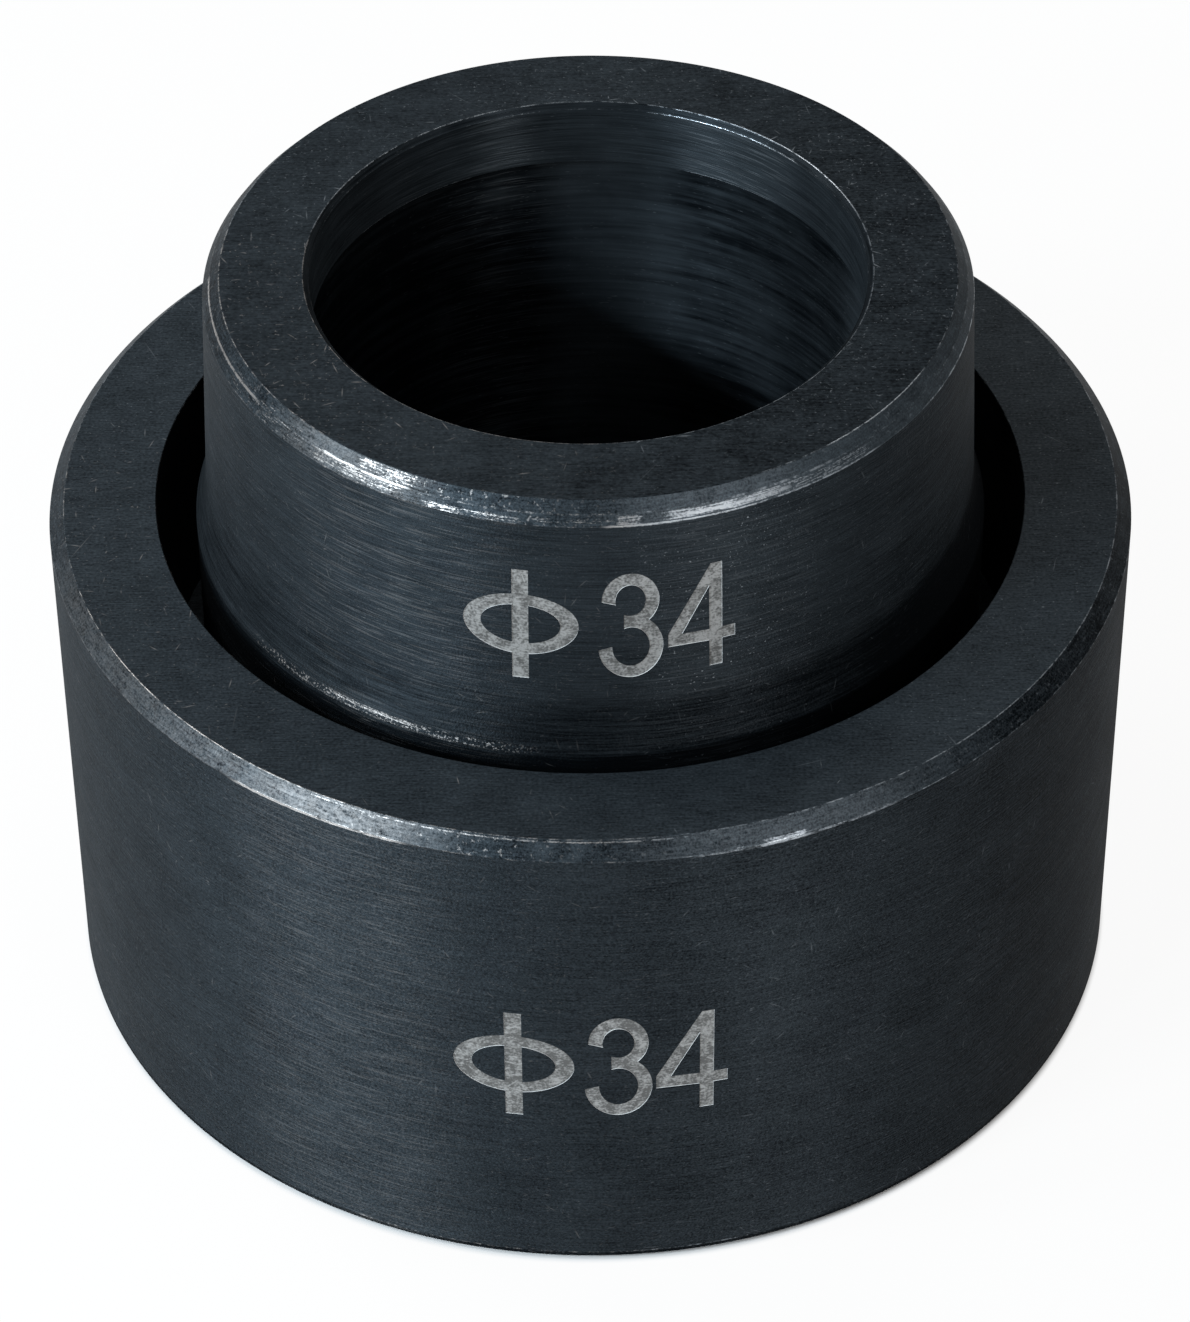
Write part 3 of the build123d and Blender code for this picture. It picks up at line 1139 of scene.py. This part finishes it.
# lines limited to the front left, a little right of the front and the bore's lit side are partly
# painted highlight
die_edges = [
    (*rim, 0.06, 0.25, *all_round),
    (*rim, 0.06, 0.45, -75, -45),
    (*rim, 0.06, 0.9, 40, 60),
    (*rim, 0.06, 0.5, 25, 110),
    (*rim, 0.07, 0.6, -115, -75),
    (*ridge, 0.07, 0.4, *all_round),
    (*ridge, 0.1, 0.9, -88, -60),
    (*ridge, 0.1, 0.9, -42, -29),
    (*ridge, 0.1, 0.6, 22, 36),
    (facet_ridge_radius + 0.23, facet_ridge_z - 0.33, 0.16, 0.9, 14, 28),
    (*wall_top, 0.06, 0.3, *all_round),
    (*wall_top, 0.08, 0.5, -42, -26),
    (*wall_top, 0.1, 1.0, 4, 12),
    (*wall_top, 0.08, 0.8, 12, 44),
    (*wall_top, 0.08, 0.7, 60, 90),
    (*mouth, 0.06, 0.6, *all_round),
    (*mouth, 0.06, 0.9, 110, 160),
    (*lead_in_end, 0.05, 0.3, *all_round),
    (*lead_in_end, 0.06, 0.8, 132, 164),
    (*land_end, 0.05, 0.3, *all_round),
    (*land_end, 0.09, 1.0, 140, 156),
    (*land_end, 0.08, 0.7, -152, -126),
]

chamfer_top_radius = holder_radius - holder_chamfer
chamfer_foot_z = holder_top_z - holder_chamfer
chamfer_top = (chamfer_top_radius, holder_top_z)
chamfer_foot = (holder_radius, chamfer_foot_z)
# lines limited to the front left and a little right of the front are partly painted highlight
holder_edges = [
    (*chamfer_top, 0.06, 0.5, *all_round),
    (*chamfer_top, 0.06, 0.75, -60, -26),
    (chamfer_top_radius + 0.12, holder_top_z - 0.12, 0.06, 0.65, -30, 8),
    (*chamfer_top, 0.06, 0.62, 20, 105),
    (*chamfer_foot, 0.06, 0.4, *all_round),
    (holder_radius, chamfer_foot_z - 0.05, 0.12, 1.0, -37, -21),
    (holder_radius, chamfer_foot_z - 0.08, 0.09, 0.65, 12, 30),
    (holder_radius, chamfer_foot_z - 0.1, 0.15, 0.9, 17.5, 20.5),
    (*chamfer_foot, 0.05, 0.55, 28, 105),
    (seat_radius, holder_top_z, 0.05, 0.5, *all_round),
    (holder_radius, foot_chamfer, 0.05, 0.3, *all_round),
    (holder_radius, foot_chamfer + 0.3, 0.07, 0.45, -25, 15),
]
edges = die_edges + holder_edges
print("worn edges:", len(die_edges), "and", len(holder_edges))

# %% [markdown]
# Patches have two azimuths, two heights and how bare they are. Veils, painted light and shade, and
# painted glints have two azimuths and an amount. All heights are in millimetres above the foot of
# the holder ring. Patches and veils near the lamps' bands are partly wear and partly painted
# highlight.

# %% Hand out the finishes
palette = {
    # the collar's patches on the front left: partly wear, partly painted highlight
    "turned": turned_finish(edges, [
        (-38, -27, 34.35, 34.5, 0.9), (-46, -22, 34.05, 34.15, 0.6), (-38, -26, 33.7, 33.8, 0.4),
    ]),
    "ground": ground_finish(edges),
    # facet patches, veils and tone shifts: partly wear, partly painted highlight, painted light and
    # shade
    "die_facets": facet_finish("worn_facets_and_painted_light", die_edges, [
        (-64, -48, 50.7, 51.5, 0.5), (-42, -30, 50.8, 51.3, 0.8), (-35, -27, 51.4, 51.8, 0.8),
        (-23, -11, 50.7, 50.95, 0.7), (4.2, 6.8, 50.75, 51.1, 0.95), (13, 27, 50.8, 51.12, 1.0),
        (26, 42, 50.75, 51.1, 0.75), (-8, 3, 50.85, 51.0, 0.5),
    ], 0.4, [(-44, -32, 0.08), (13, 25, 0.06)], [
        (10, 100, 0.18), (30, 70, 0.12), (-27, -25, -0.14), (-110, -74, -0.14),
    ]),
    # chamfer patches, veils and tone shifts: partly wear, partly painted highlight, painted light
    # and shade
    "holder_chamfer": facet_finish("worn_chamfer_and_painted_light", holder_edges, [
        (17.5, 21, 34.02, 34.2, 1.0), (14, 30, 34.0, 34.1, 0.6),
    ], 0.4, [(-70, -36, 0.07), (-31, -24, 0.13), (14, 26, 0.07)], [
        (-4, 4, -0.06), (16, 32, 0.1), (50, 110, -0.22),
    ]),
    "lead_in": bore_finish("bore_lead_in", 0.1, 0.3, die_edges, 0.2, 0.42, [], []),
    "land": bore_finish(
        "bore_land", 0.2, 0.5, die_edges, 0.4, 0.35, [(136, 154, 0.25)],
        [(138, 153, 0.18), (-162, -140, 0.06)],
    ),
    "relief": bore_finish(
        "bore_relief", 0.42, 0.12, edges, 0.45, 0.42, [(118, 156, -0.31), (-166, -80, -0.42)],
        [(-166, -152, 0.05)],
    ),
    "size_mark": mark_finish(),
    "mark_edge": edge_finish(),
}
for ring in (die_ring, holder_ring):
    for finish in finishes:
        ring.data.materials.append(palette[finish])
print("materials:", sorted(paint.name for paint in palette.values()))

# %% [markdown]
# ## Taking the solids' place
#
# Each spun ring stands for its solid and rides on the one body there is.

# %% Ride and replace
for ring, node, slot in (
    (die_ring, "die_ring", "die_ring_steel"),
    (holder_ring, "holder_ring", "holder_ring_steel"),
):
    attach(ring, "root")
    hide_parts(node)
